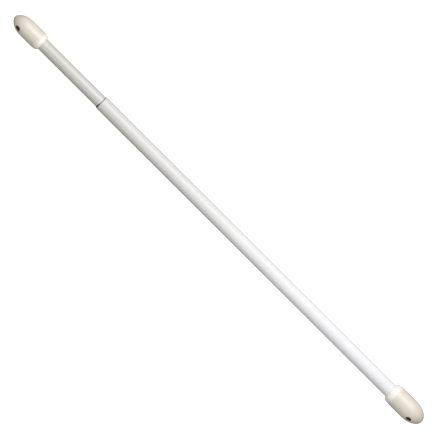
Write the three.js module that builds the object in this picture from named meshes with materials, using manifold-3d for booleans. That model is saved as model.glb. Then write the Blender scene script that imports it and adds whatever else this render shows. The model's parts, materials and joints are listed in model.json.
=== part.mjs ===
// Telescopic door security bar: two steel tubes, a moulded boot with a pin hole on each end, and a
// twist lock inside, where a threaded stud draws a cone into a split sleeve that grips the outer tube.
// Millimetres, +Z up. The origin is the flat nose of the fixed end, and the bar lies along -X.

import * as THREE from 'three';
import { mergeVertices } from 'three/addons/utils/BufferGeometryUtils.js';
import Module from 'manifold-3d';

const wasm = await Module();
wasm.setup();

// ---- driving dimensions ----

const ROUND_SEGMENTS = 48; // facets of tubes, boots and sleeves, so that neighbours' facets line up
const SMALL_SEGMENTS = 24; // facets of bores, pins and washers
const NOSE_STEPS = 12; // bands of a boot's nose
const SHOULDER_STEPS = 6; // bands of a boot's shoulder
const RING_SECTION_SIDES = 8;
const OVERCUT = 1; // how far a cutter runs past the face it opens

const GAP = 0.3; // between pieces that rest on each other end to end
const FIT = 0.15; // radial room of a push fit
const THREAD_ROOM = 0.15; // radial room round the stud in pieces that turn with it
const RUNNING_ROOM = 0.3; // radial room round the stud in pieces that it turns in

const OUTER_TUBE = { radius: 12.5, wall: 0.8, shown: 662, bevelLength: 1.6, bevelDrop: 0.35 };
const INNER_TUBE = { radius: 11, wall: 0.8, shown: 135, length: 600 };
const TUBE_CHAMFER = 0.25;

// Along a boot from its nose face: the rounded nose, the pin hole's centre, and the whole length. The
// nose is an ellipse where both powers are 2. A higher flankPower makes its flank fuller, and a lower
// tipPower makes its tip more pointed.
const OUTER_CAP = {
  noseLength: 30,
  flankPower: 2,
  tipPower: 2,
  pinHole: 19,
  length: 71,
  radius: 18.2,
  shoulderLength: 12,
  lipRadius: 13.3,
};
const INNER_CAP = {
  noseLength: 27.5,
  flankPower: 2.3,
  tipPower: 1.5,
  pinHole: 17,
  length: 63,
  radius: 16,
  shoulderLength: 8.5,
  lipRadius: 11.7,
};
const SHOULDER_STEP = 0.3; // how far the barrel stands proud of the shoulder
const NOSE_FACE_RADIUS = 2;
const NOSE_SOLID = 27; // from the nose face to the bottom of the socket
const PIN_HOLE_RADIUS = 5;
const CAP_WASHER = { thickness: 1.5, bore: 5 };

const MOUTH_BUSH = { radius: 11.6, bore: 11.25, length: 25 };
const MOUTH_FLANGE = { radius: 12, thickness: 0.6, standOff: 0.1 };

const STUD = { radius: 4, length: 108, intoTube: 42, chamfer: 1 };
const PLUG = { radius: 10, length: 30, flangeRadius: 10.9, flangeLength: 3 };
const PLUG_PIN = { radius: 1.5, inner: 6, outer: 10.9, setback: 15, count: 2 };
const NUT = { acrossFlats: 13, thickness: 6.5 };
const LOCK_WASHER = { radius: 7, thickness: 1.6 };
const THRUST_WASHER = { radius: 10.8, thickness: 1.5 };
const STOP_WASHER = { radius: 8, thickness: 1.5 };

const SLEEVE = { radius: 11.6, length: 40, bore: 6.4, collar: 12, mouthBore: 9.8 };
const SLIT = { width: 2, length: 28, count: 4, innerRadius: 4 };
const DRAG_RING = { section: 0.65, outer: 11.55, setbacks: [3.5, 8] };
const DRAG_GROOVE = { width: 2.4, radius: 10.2 };

const CONE = { length: 24, intoSleeve: 21, backBand: 3, slack: 0.06 };
const CONE_TRAVEL = 2.25; // from loose to locked
const CONE_KEY = { width: 1.5, radius: 11.2, innerRadius: 7, length: 14 };
const CONE_INSERT = { acrossFlats: 11, length: 18 };

// ---- places worked out from them ----

const OUTER_MOUTH_X = -(OUTER_CAP.length + OUTER_TUBE.shown);
const TOTAL_LENGTH = OUTER_CAP.length + OUTER_TUBE.shown + INNER_TUBE.shown + INNER_CAP.length;
const TUBE_SETBACK = NOSE_SOLID + CAP_WASHER.thickness + 2 * GAP; // from nose face to tube end
const INNER_TUBE_END_X = -TOTAL_LENGTH + TUBE_SETBACK + INNER_TUBE.length;

// Along the lock, measured from the hidden end of the inner tube.
const LOCK_WASHER_X = -PLUG.length - GAP - LOCK_WASHER.thickness;
const PLUG_NUT_X = LOCK_WASHER_X - GAP - NUT.thickness;
const FLANGE_END_X = GAP + PLUG.flangeLength;
const THRUST_WASHER_X = FLANGE_END_X + GAP;
const SLEEVE_X = THRUST_WASHER_X + THRUST_WASHER.thickness + GAP;
const SLEEVE_END_X = SLEEVE_X + SLEEVE.length;
const CONE_TIP_X = SLEEVE_END_X - CONE.intoSleeve + CONE_TRAVEL;
const CONE_END_X = CONE_TIP_X + CONE.length;
const STOP_WASHER_X = CONE_END_X + GAP;
const STOP_NUT_X = STOP_WASHER_X + STOP_WASHER.thickness + GAP;

// ---- materials ----

const whitePaint = { color: 0xf2f2ee, roughness: 0.4, metalness: 0 };
const creamRubber = { color: 0xeee4d4, roughness: 0.6, metalness: 0 };
const zincSteel = { color: 0xb9bcc0, roughness: 0.35, metalness: 1 };
const blackRubber = { color: 0x1c1c1c, roughness: 0.8, metalness: 0 };
const greyNylon = { color: 0x8f9296, roughness: 0.5, metalness: 0 };
const naturalNylon = { color: 0xe6e2d6, roughness: 0.5, metalness: 0 };
const brass = { color: 0xc8a24a, roughness: 0.3, metalness: 1 };

// ---- tools ----

// A closed three.js geometry as a solid that can be joined and cut. Triangles that merging has
// closed up, such as those at a pole, are left out.
function solidOf(geometry) {
  geometry.deleteAttribute('normal');
  geometry.deleteAttribute('uv');
  const merged = mergeVertices(geometry);
  const corners = merged.index.array;
  const triVerts = [];
  for (let i = 0; i < corners.length; i += 3) {
    const [a, b, c] = corners.subarray(i, i + 3);
    if (a !== b && b !== c && c !== a) {
      triVerts.push(a, b, c);
    }
  }
  return new wasm.Manifold(
    new wasm.Mesh({
      numProp: 3,
      vertProperties: new Float32Array(merged.attributes.position.array),
      triVerts: new Uint32Array(triVerts),
    })
  );
}

function geometryOf(solid) {
  const { vertProperties, triVerts } = solid.getMesh();
  const geometry = new THREE.BufferGeometry();
  geometry.setAttribute('position', new THREE.BufferAttribute(vertProperties, 3));
  geometry.setIndex(new THREE.BufferAttribute(triVerts, 1));
  geometry.computeVertexNormals();
  return geometry;
}

// Turns a profile of [x, radius] points about the X axis. The profile runs with the material on its
// right, and starts and ends on the axis or closes on itself.
function turned(profile, segments = ROUND_SEGMENTS) {
  const points = profile.map(([x, radius]) => new THREE.Vector2(radius, x));
  return solidOf(new THREE.LatheGeometry(points, segments).rotateZ(-Math.PI / 2));
}

// A plain ring between two places on X.
function ring(fromX, toX, outer, bore, segments) {
  const profile = [
    [fromX, bore],
    [fromX, outer],
    [toX, outer],
    [toX, bore],
    [fromX, bore],
  ];
  return turned(profile, segments);
}

// Points on an ellipse in the profile's plane, from one angle to another, in equal turns.
function arc(centreX, centreRadius, halfX, halfRadius, fromAngle, toAngle, steps) {
  return Array.from({ length: steps + 1 }, (_, i) => {
    const angle = fromAngle + ((toAngle - fromAngle) * i) / steps;
    return [centreX + halfX * Math.cos(angle), centreRadius + halfRadius * Math.sin(angle)];
  });
}

// A prism along X with its corners on a circle: a rod if it has many sides.
function prism(fromX, toX, radius, sides) {
  const upright = new THREE.CylinderGeometry(radius, radius, toX - fromX, sides);
  return solidOf(upright.rotateZ(-Math.PI / 2).translate((fromX + toX) / 2, 0, 0));
}

function hexagon(fromX, toX, acrossFlats) {
  return prism(fromX, toX, acrossFlats / 2 / Math.cos(Math.PI / 6), 6);
}

// A rod along X that opens a bore between two places and runs past both.
function boreCutter(fromX, toX, radius) {
  return prism(fromX - OVERCUT, toX + OVERCUT, radius, SMALL_SEGMENTS);
}

// Copies of a bar that lies along X off to one side, spaced evenly round the axis.
function spokes(fromX, toX, innerRadius, outerRadius, width, count) {
  return Array.from({ length: count }, (_, i) => {
    const spoke = new THREE.BoxGeometry(toX - fromX, outerRadius - innerRadius, width);
    spoke.translate((fromX + toX) / 2, (innerRadius + outerRadius) / 2, 0);
    return solidOf(spoke.rotateX((i * 2 * Math.PI) / count));
  });
}

// ---- end boots ----

// The curve of a boot's nose, from the barrel to the flat face at its tip. It is a superellipse, and
// reach is its length if it ran to a point.
function noseCurve(cap) {
  const faceShare = (1 - (NOSE_FACE_RADIUS / cap.radius) ** cap.tipPower) ** (1 / cap.flankPower);
  const reach = cap.noseLength / faceShare;
  return Array.from({ length: NOSE_STEPS + 1 }, (_, i) => {
    const share = Math.sin((Math.asin(faceShare) * i) / NOSE_STEPS);
    return [reach * share - cap.noseLength, noseRadius(cap, share)];
  });
}

function noseRadius(cap, share) {
  return cap.radius * (1 - share ** cap.flankPower) ** (1 / cap.tipPower);
}

// A boot with its nose face at x = 0 and its body along -X: a long rounded nose, a straight barrel,
// a small step to a rounded shoulder that ends at the lip, a blind socket for the tube and a pin hole
// across the nose.
function endCap(cap, tube) {
  const shoulderX = -cap.length + cap.shoulderLength;
  const shoulderRise = cap.radius - SHOULDER_STEP - cap.lipRadius;
  const socketRadius = tube.radius + FIT;
  const boot = turned([
    [-NOSE_SOLID, 0],
    [-NOSE_SOLID, socketRadius],
    [-cap.length, socketRadius],
    ...arc(shoulderX, cap.lipRadius, cap.shoulderLength, shoulderRise, Math.PI, Math.PI / 2, SHOULDER_STEPS),
    [shoulderX, cap.radius],
    ...noseCurve(cap),
    [0, 0],
  ]);
  const crossRod = new THREE.CylinderGeometry(
    PIN_HOLE_RADIUS,
    PIN_HOLE_RADIUS,
    2 * (cap.radius + OVERCUT),
    SMALL_SEGMENTS
  );
  return boot.subtract(solidOf(crossRod.translate(-cap.pinHole, 0, 0)));
}

// The steel washer at the bottom of a boot's socket, which keeps the tube from cutting through.
function capWasher(tube) {
  const faceX = -NOSE_SOLID - GAP;
  return ring(faceX - CAP_WASHER.thickness, faceX, tube.radius - FIT, CAP_WASHER.bore, SMALL_SEGMENTS);
}

// ---- tubes ----

// The outer tube, with a long shallow bevel round its mouth and a small one in the boot.
function outerTube() {
  const { radius, wall, bevelLength, bevelDrop } = OUTER_TUBE;
  return turned([
    [OUTER_MOUTH_X, radius - wall],
    [OUTER_MOUTH_X, radius - bevelDrop],
    [OUTER_MOUTH_X + bevelLength, radius],
    [-TUBE_SETBACK - TUBE_CHAMFER, radius],
    [-TUBE_SETBACK, radius - TUBE_CHAMFER],
    [-TUBE_SETBACK, radius - wall],
    [OUTER_MOUTH_X, radius - wall],
  ]);
}

// The thin bush in the outer tube's mouth, with a flange that covers the tube's cut edge.
function mouthBush() {
  const flangeEndX = OUTER_MOUTH_X - MOUTH_FLANGE.standOff;
  const flangeX = flangeEndX - MOUTH_FLANGE.thickness;
  const endX = OUTER_MOUTH_X + MOUTH_BUSH.length;
  return turned([
    [flangeX, MOUTH_BUSH.bore],
    [flangeX, MOUTH_FLANGE.radius],
    [flangeEndX, MOUTH_FLANGE.radius],
    [flangeEndX, MOUTH_BUSH.radius],
    [endX, MOUTH_BUSH.radius],
    [endX, MOUTH_BUSH.bore],
    [flangeX, MOUTH_BUSH.bore],
  ]);
}

// A pin that lies across the inner tube at one of the plug's pin places, between two radii.
function plugPin(index, radius, inner, outer) {
  const pin = new THREE.CylinderGeometry(radius, radius, outer - inner, SMALL_SEGMENTS);
  pin.translate(-PLUG_PIN.setback, (inner + outer) / 2, 0);
  return solidOf(pin.rotateX(Math.PI / 2 + (index * 2 * Math.PI) / PLUG_PIN.count));
}

function withPinHoles(solid) {
  let drilled = solid;
  for (let i = 0; i < PLUG_PIN.count; i += 1) {
    const holeRadius = PLUG_PIN.radius + FIT;
    drilled = drilled.subtract(plugPin(i, holeRadius, PLUG_PIN.inner - GAP, INNER_TUBE.radius + OVERCUT));
  }
  return drilled;
}

function innerTube() {
  const { radius, wall, length } = INNER_TUBE;
  return withPinHoles(
    turned([
      [-length, radius - wall],
      [-length, radius - TUBE_CHAMFER],
      [-length + TUBE_CHAMFER, radius],
      [-TUBE_CHAMFER, radius],
      [0, radius - TUBE_CHAMFER],
      [0, radius - wall],
      [-length, radius - wall],
    ])
  );
}

// ---- twist lock, measured from the hidden end of the inner tube ----

function studPlug() {
  const bore = STUD.radius + THREAD_ROOM;
  return withPinHoles(
    turned([
      [-PLUG.length, bore],
      [-PLUG.length, PLUG.radius],
      [GAP, PLUG.radius],
      [GAP, PLUG.flangeRadius],
      [FLANGE_END_X, PLUG.flangeRadius],
      [FLANGE_END_X, bore],
      [-PLUG.length, bore],
    ])
  );
}

function lockStud() {
  const { radius, length, intoTube, chamfer } = STUD;
  const profile = [
    [-intoTube, 0],
    [-intoTube, radius - chamfer],
    [-intoTube + chamfer, radius],
    [length - intoTube - chamfer, radius],
    [length - intoTube, radius - chamfer],
    [length - intoTube, 0],
  ];
  return turned(profile, SMALL_SEGMENTS);
}

function studNut(fromX) {
  const toX = fromX + NUT.thickness;
  return hexagon(fromX, toX, NUT.acrossFlats).subtract(boreCutter(fromX, toX, STUD.radius + THREAD_ROOM));
}

function studWasher(fromX, washer) {
  return ring(fromX, fromX + washer.thickness, washer.radius, STUD.radius + THREAD_ROOM, SMALL_SEGMENTS);
}

// The split sleeve: a closed collar with a groove for each drag ring, then fingers over a taper.
function expanderSleeve() {
  const grooves = DRAG_RING.setbacks.flatMap((setback) => {
    const fromX = SLEEVE_X + setback - DRAG_GROOVE.width / 2;
    const toX = fromX + DRAG_GROOVE.width;
    return [
      [fromX, SLEEVE.radius],
      [fromX, DRAG_GROOVE.radius],
      [toX, DRAG_GROOVE.radius],
      [toX, SLEEVE.radius],
    ];
  });
  const whole = turned([
    [SLEEVE_X, SLEEVE.bore],
    [SLEEVE_X, SLEEVE.radius],
    ...grooves,
    [SLEEVE_END_X, SLEEVE.radius],
    [SLEEVE_END_X, SLEEVE.mouthBore],
    [SLEEVE_X + SLEEVE.collar, SLEEVE.bore],
    [SLEEVE_X, SLEEVE.bore],
  ]);
  const slitX = SLEEVE_END_X - SLIT.length;
  const slitEndX = SLEEVE_END_X + OVERCUT;
  const slitRadius = SLEEVE.radius + OVERCUT;
  const slits = spokes(slitX, slitEndX, SLIT.innerRadius, slitRadius, SLIT.width, SLIT.count);
  return slits.reduce((sleeve, slit) => sleeve.subtract(slit), whole);
}

function dragRing(setback) {
  const { section, outer } = DRAG_RING;
  const centreX = SLEEVE_X + setback;
  return turned(arc(centreX, outer - section, section, section, 2 * Math.PI, 0, RING_SECTION_SIDES));
}

// The radius of the sleeve's tapered bore at a place along it.
function taperRadius(x) {
  const startX = SLEEVE_X + SLEEVE.collar;
  const share = (x - startX) / (SLEEVE_END_X - startX);
  return SLEEVE.bore + share * (SLEEVE.mouthBore - SLEEVE.bore);
}

// The cone at its loose place. Its flank is the sleeve's taper less a slack, and its keys run in the
// sleeve's slits, so that it can't turn. A hexagonal pocket in its back holds the brass insert.
function coneNut() {
  const bandX = CONE_END_X - CONE.backBand;
  const tipRadius = taperRadius(CONE_TIP_X - CONE_TRAVEL) - CONE.slack;
  const bandRadius = taperRadius(bandX - CONE_TRAVEL) - CONE.slack;
  const plain = turned([
    [CONE_TIP_X, 0],
    [CONE_TIP_X, tipRadius],
    [bandX, bandRadius],
    [CONE_END_X, bandRadius],
    [CONE_END_X, 0],
  ]);
  const { width, radius, innerRadius, length } = CONE_KEY;
  const keys = spokes(CONE_END_X - length, CONE_END_X, innerRadius, radius, width, SLIT.count);
  const keyed = keys.reduce((cone, key) => cone.add(key), plain);
  const pocketX = CONE_END_X - CONE_INSERT.length - GAP;
  return keyed
    .subtract(hexagon(pocketX, CONE_END_X + OVERCUT, CONE_INSERT.acrossFlats + 2 * FIT))
    .subtract(boreCutter(CONE_TIP_X, CONE_END_X, STUD.radius + RUNNING_ROOM));
}

function coneInsert() {
  const fromX = CONE_END_X - CONE_INSERT.length;
  const bore = boreCutter(fromX, CONE_END_X, STUD.radius + RUNNING_ROOM);
  return hexagon(fromX, CONE_END_X, CONE_INSERT.acrossFlats).subtract(bore);
}

// ---- assembly ----

function addTo(group, name, solid, look) {
  const mesh = new THREE.Mesh(geometryOf(solid), new THREE.MeshStandardMaterial(look));
  mesh.name = name;
  group.add(mesh);
}

// The outer body stays where the fixed end holds it.
const outerBody = new THREE.Group();
addTo(outerBody, 'outer_tube', outerTube(), whitePaint);
addTo(outerBody, 'outer_end_cap', endCap(OUTER_CAP, OUTER_TUBE), creamRubber);
addTo(outerBody, 'outer_cap_washer', capWasher(OUTER_TUBE), zincSteel);
addTo(outerBody, 'mouth_bush', mouthBush(), blackRubber);

// The lock's sleeve slides along the outer tube.
const sleeveBody = new THREE.Group();
addTo(sleeveBody, 'expander_sleeve', expanderSleeve(), greyNylon);
DRAG_RING.setbacks.forEach((setback, i) => {
  addTo(sleeveBody, `drag_ring_${i + 1}`, dragRing(setback), blackRubber);
});

// The cone slides in the sleeve's open end.
const coneBody = new THREE.Group();
addTo(coneBody, 'cone_nut', coneNut(), naturalNylon);
addTo(coneBody, 'cone_insert', coneInsert(), brass);

// The inner body turns against the sleeve and slides with it.
const innerBody = new THREE.Group();
addTo(innerBody, 'inner_tube', innerTube(), whitePaint);
addTo(innerBody, 'stud_plug', studPlug(), greyNylon);
addTo(innerBody, 'lock_stud', lockStud(), zincSteel);
addTo(innerBody, 'plug_lock_washer', studWasher(LOCK_WASHER_X, LOCK_WASHER), zincSteel);
addTo(innerBody, 'plug_nut', studNut(PLUG_NUT_X), zincSteel);
addTo(innerBody, 'thrust_washer', studWasher(THRUST_WASHER_X, THRUST_WASHER), zincSteel);
addTo(innerBody, 'stop_washer', studWasher(STOP_WASHER_X, STOP_WASHER), zincSteel);
addTo(innerBody, 'stop_nut', studNut(STOP_NUT_X), zincSteel);
for (let i = 0; i < PLUG_PIN.count; i += 1) {
  const pin = plugPin(i, PLUG_PIN.radius, PLUG_PIN.inner, PLUG_PIN.outer);
  addTo(innerBody, `plug_pin_${i + 1}`, pin, zincSteel);
}

// The sliding end's boot and washer face -X at the far end of the inner tube.
const slidingEnd = new THREE.Group();
slidingEnd.rotation.z = Math.PI;
slidingEnd.position.x = -TOTAL_LENGTH - INNER_TUBE_END_X;
addTo(slidingEnd, 'inner_end_cap', endCap(INNER_CAP, INNER_TUBE), creamRubber);
addTo(slidingEnd, 'inner_cap_washer', capWasher(INNER_TUBE), zincSteel);
innerBody.add(slidingEnd);

const movingParts = new THREE.Group();
movingParts.position.x = INNER_TUBE_END_X;
movingParts.add(sleeveBody, coneBody, innerBody);

const bar = new THREE.Group();
bar.name = 'door_security_bar';
bar.add(outerBody, movingParts);

export default bar;
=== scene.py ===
"""The looks of the telescopic door security bar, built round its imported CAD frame.

Metres, in the frame's own axes: the bar lies along X, with the fixed end's nose at the origin. Each CAD
node is replaced by a finer mesh of the same size, turned about X and cut where the real piece is cut.
"""

import json
import math

import bmesh
import bpy
from mathutils import Matrix, Vector


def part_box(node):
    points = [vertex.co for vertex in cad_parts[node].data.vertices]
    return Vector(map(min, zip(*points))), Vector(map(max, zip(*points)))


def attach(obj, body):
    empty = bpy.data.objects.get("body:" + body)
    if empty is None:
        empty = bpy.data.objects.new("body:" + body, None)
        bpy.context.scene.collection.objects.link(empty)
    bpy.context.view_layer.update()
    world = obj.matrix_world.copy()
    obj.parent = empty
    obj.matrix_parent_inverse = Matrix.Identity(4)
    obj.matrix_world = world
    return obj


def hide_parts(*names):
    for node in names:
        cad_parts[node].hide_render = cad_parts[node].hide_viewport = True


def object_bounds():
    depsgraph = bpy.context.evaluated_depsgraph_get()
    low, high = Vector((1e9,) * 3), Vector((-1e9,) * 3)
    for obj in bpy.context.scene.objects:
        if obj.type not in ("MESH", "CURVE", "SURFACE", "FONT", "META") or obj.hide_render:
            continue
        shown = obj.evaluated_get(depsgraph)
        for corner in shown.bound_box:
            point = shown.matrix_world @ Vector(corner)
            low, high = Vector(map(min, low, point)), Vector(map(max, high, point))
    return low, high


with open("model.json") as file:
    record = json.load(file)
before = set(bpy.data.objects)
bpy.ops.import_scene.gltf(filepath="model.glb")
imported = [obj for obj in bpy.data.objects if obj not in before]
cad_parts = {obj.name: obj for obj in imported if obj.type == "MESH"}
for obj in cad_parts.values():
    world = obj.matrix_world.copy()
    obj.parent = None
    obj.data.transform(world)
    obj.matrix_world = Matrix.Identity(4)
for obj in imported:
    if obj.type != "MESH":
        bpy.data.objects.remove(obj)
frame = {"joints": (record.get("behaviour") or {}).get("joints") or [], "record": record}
cad_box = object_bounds()

MM = 0.001

# ---- driving dimensions that the frame's boxes don't give ----

TUBE = {"wall": 0.8 * MM, "inside": 0.15 * MM, "outside": 0.3 * MM}
MOUTH_BEVEL = {"length": 1.6 * MM, "drop": 0.35 * MM, "rounding": 1.2 * MM}

NOSE_FACE_RADIUS = 2 * MM
NOSE_SOLID = 27 * MM
PIN_HOLE_RADIUS = 5 * MM
PIN_HOLE_ROUNDING = 0.55 * MM
PUSH_FIT = 0.15 * MM
SHOULDER_STEP = 0.3 * MM
RIDGE_FLAT_END = 0.25 * MM
RIDGE_EDGE = {"back": 0.07 * MM, "down": 0.06 * MM}
RIDGE_FOOT_RISE = 0.1 * MM
LIP_EDGE = {"back": 0.08 * MM, "out": 0.05 * MM}
SOCKET_ROUNDING = 0.3 * MM
# Painted shade in the pin hole: a share at the bottom of the rounded rim, full a little way into the wall.
RIM_HOLE_SHADE = 0.3
FULL_HOLE_SHADE_LEVEL = 0.1
FIXED_BOOT = {
    "nose": 30 * MM,
    "flank_power": 2,
    "tip_power": 2,
    "pin_hole": 19 * MM,
    "shoulder": 12 * MM,
    "lip": 13.3 * MM,
}
SLIDING_BOOT = {
    "nose": 27.5 * MM,
    "flank_power": 2.3,
    "tip_power": 1.5,
    "pin_hole": 17 * MM,
    "shoulder": 8.5 * MM,
    "lip": 11.7 * MM,
}

BUSH = {
    "bore": 11.25 * MM,
    "radius": 11.6 * MM,
    "flange": 0.6 * MM,
    "reach": 1 * MM,
    "rounding": 0.1 * MM,
    "front_rounding": 0.2 * MM,
}
# A black lip on the bush's lower front stands where the step's shadow falls: a painted shadow.
SHADOW_LIP_DEPTH = 1.3 * MM
LIP_MIDDLE = math.radians(-39)
LIP_STARTS, LIP_FULL = 0.15, 0.85

THREAD_BORE = 4.1 * MM
RUNNING_BORE = 4.3 * MM
CAP_WASHER_BORE = 5 * MM
THREAD_PITCH = 1.5 * MM
THREAD_DEPTH = 0.75 * MM
# Over each half turn the thread's height is slope * share - drop, kept from 0 at its root to 1.
THREAD_FLANKS = {"slope": 2.5, "drop": 0.75}
STUD_CHAMFER = 1 * MM
WASHER_ROUNDING = 0.25 * MM
LOCK_WASHER = {"rounding": 0.15 * MM, "half_slit": 0.6 * MM, "reach": 10 * MM, "slant": math.radians(25)}
NUT = {"face_share": 0.98, "chamfer_slope": 0.58, "slack": 0.05 * MM, "flare": 0.5 * MM}
HEX_SIDES = 6

PLUG = {"radius": 10 * MM, "flange_gap": 0.3 * MM, "rounding": 0.3 * MM, "front_rounding": 0.6 * MM}
PLUG_RINGS = {
    "count": 4,
    "start": 4 * MM,
    "pitch": 2.2 * MM,
    "width": 1.4 * MM,
    "slope": 0.4 * MM,
    "depth": 0.35 * MM,
    "rounding": 0.1 * MM,
}
PIN_ROOM = {"round": 0.1 * MM, "under": 0.3 * MM, "over": 2 * MM}
# The pin's corners at each end: (distance from that end, radius), in shares of its full radius.
PIN_FOOT = ((0, 0), (0, 0.9), (0.1, 1))
PIN_HEAD = ((0.4, 1), (0.12, 0.8), (0, 0.35), (0, 0))

SLEEVE = {
    "bore": 6.4 * MM,
    "mouth": 9.8 * MM,
    "collar": 12 * MM,
    "collar_rounding": 2 * MM,
    "rounding": 0.4 * MM,
    "back_rounding": 0.5 * MM,
    "mouth_rounding": 0.2 * MM,
}
SLITS = {"count": 4, "length": 28 * MM, "inner": 4 * MM, "width": 2 * MM}
DRAG_GROOVE = {"half_width": 1.2 * MM, "radius": 10.2 * MM, "rounding": 0.15 * MM}
SLEEVE_RINGS = {
    "start": 15 * MM,
    "end_gap": 4 * MM,
    "pitch": 2 * MM,
    "width": 1.1 * MM,
    "slope": 0.3 * MM,
    "depth": 0.3 * MM,
    "rounding": 0.08 * MM,
}

CONE = {"slack": 0.06 * MM, "tip_chamfer": 0.4 * MM, "band": 3 * MM, "band_chamfer": 0.3 * MM}
KEYS = {"count": 4, "length": 14 * MM, "inner": 7 * MM, "width": 1.5 * MM, "set_back": 0.01 * MM}
POCKET = {"deeper": 0.3 * MM, "wider": 0.17 * MM}

# ---- how fine the meshes are ----

TURNED_SEGMENTS = 128
SLEEVE_SEGMENTS = 96
SMALL_SEGMENTS = 64
PIN_SEGMENTS = 48
STUD_SEGMENTS = 40
STUD_ROWS_PER_TURN = 10
RING_SECTION_STEPS = 16
CORNER_STEPS = 4
CORNER_LIMIT = 0.45
BOOT_COLUMNS = 160
FACE_ROW_SHARES = (0, 0.5, 0.93)
NOSE_ROWS = 48
BARREL_ROWS = 8
SHOULDER_ROWS = 16
WINDOW_HALF_COLUMNS = 14
WINDOW_HALF_LENGTH = 7.6 * MM
MOUTH_RINGS = 7
ROUNDING_RINGS = 6
WALL_LEVELS = (0.04, 0.1, 0.25, 0.5, 0.75, 0.9, 0.96)
ON_AXIS = 1e-9
OVERCUT = 1 * MM
CRISP_DEGREES = 32
THREAD_CRISP_DEGREES = 50

# ---- mesh tools ----


def add_object(name, verts, faces):
    """A smooth-shaded mesh object with its faces turned outwards."""
    mesh = bpy.data.meshes.new(name)
    mesh.from_pydata([tuple(v) for v in verts], [], faces)
    shell = bmesh.new()
    shell.from_mesh(mesh)
    bmesh.ops.recalc_face_normals(shell, faces=shell.faces)
    shell.to_mesh(mesh)
    shell.free()
    mesh.shade_smooth()
    obj = bpy.data.objects.new(name, mesh)
    bpy.context.scene.collection.objects.link(obj)
    return obj


def rounded(corners):
    """A closed outline of (x, radius, rounding) corners with each corner turned into an arc."""
    outline = []
    for i, (x, r, rounding) in enumerate(corners):
        here = Vector((x, r))
        before = Vector(corners[i - 1][:2]) - here
        after = Vector(corners[(i + 1) % len(corners)][:2]) - here
        if rounding == 0 or r == 0:
            outline.append(here)
            continue
        half = before.angle(after) / 2
        room = CORNER_LIMIT * min(before.length, after.length)
        reach = min(rounding / math.tan(half), room)
        start = here + before.normalized() * reach
        end = here + after.normalized() * reach
        for k in range(CORNER_STEPS + 1):
            share = k / CORNER_STEPS
            toward_start = start.lerp(here, share)
            toward_end = here.lerp(end, share)
            outline.append(toward_start.lerp(toward_end, share))
    return [(p.x, p.y) for p in outline]


def ring_points(x, radius, count):
    """A ring of points at x, this far from the X axis, that starts at the front."""
    angles = [2 * math.pi * j / count for j in range(count)]
    return [(x, -radius * math.cos(angle), radius * math.sin(angle)) for angle in angles]


def band(low, high):
    """The faces between two rings of vertex numbers. A ring that is one point gives triangles."""
    for j in range(len(low)):
        k = (j + 1) % len(low)
        yield list(dict.fromkeys((low[j], low[k], high[k], high[j])))


def turned(name, outline, segments=TURNED_SEGMENTS, closed=True):
    """The outline of (x, radius) points turned about the X axis."""
    verts, rings, faces = [], [], []
    for x, r in outline:
        if r < ON_AXIS:
            rings.append([len(verts)] * segments)
            verts.append((x, 0, 0))
            continue
        rings.append(range(len(verts), len(verts) + segments))
        verts += ring_points(x, r, segments)
    last = len(rings) if closed else len(rings) - 1
    for i in range(last):
        low, high = rings[i], rings[(i + 1) % len(rings)]
        faces += [corners for corners in band(low, high) if len(corners) > 2]
    return add_object(name, verts, faces)


def prism(name, from_x, to_x, radius, sides=SMALL_SEGMENTS):
    """A prism along X with its corners on a circle, which is a rod if it has many sides."""
    angles = [math.pi / sides + 2 * math.pi * j / sides for j in range(sides)]
    verts = [(x, radius * math.cos(a), radius * math.sin(a)) for x in (from_x, to_x) for a in angles]
    walls = [(j, (j + 1) % sides, sides + (j + 1) % sides, sides + j) for j in range(sides)]
    ends = [tuple(range(sides)), tuple(range(sides, 2 * sides))]
    return add_object(name, verts, walls + ends)


def block(name, low, high):
    """A box between two corners."""
    verts = [(x, y, z) for x in (low[0], high[0]) for y in (low[1], high[1]) for z in (low[2], high[2])]
    faces = [(0, 1, 3, 2), (4, 5, 7, 6), (0, 1, 5, 4), (2, 3, 7, 6), (0, 2, 6, 4), (1, 3, 7, 5)]
    return add_object(name, verts, faces)


def spokes(name, count, width, near, far):
    """Blocks that stand out from the X axis, between two corners (x, distance), spaced round it."""
    pieces = []
    for i in range(count):
        spoke = block(name, (*near, -width / 2), (*far, width / 2))
        spoke.data.transform(Matrix.Rotation(2 * math.pi * i / count, 4, "X"))
        pieces.append(spoke)
    return pieces


def combine(obj, tools, operation):
    """Joins to, cuts from or crosses obj with each tool in turn, and removes the tools."""
    for tool in tools:
        modifier = obj.modifiers.new("combine", "BOOLEAN")
        modifier.operation = operation
        modifier.solver = "EXACT"
        modifier.object = tool
        evaluated = obj.evaluated_get(bpy.context.evaluated_depsgraph_get())
        mesh = bpy.data.meshes.new_from_object(evaluated)
        obj.modifiers.clear()
        old = obj.data
        obj.data = mesh
        bpy.data.meshes.remove(old)
        bpy.data.objects.remove(tool)
    return obj


def crisp(obj, degrees=CRISP_DEGREES):
    """Keeps edges sharper than this angle sharp, and smooths the rest."""
    obj.data.shade_smooth()
    obj.data.set_sharp_from_angle(angle=math.radians(degrees))
    return obj


def span(node):
    """A node's ends along X and its outer radius."""
    low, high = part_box(node)
    return low.x, high.x, high.z


# ---- boots ----


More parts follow.
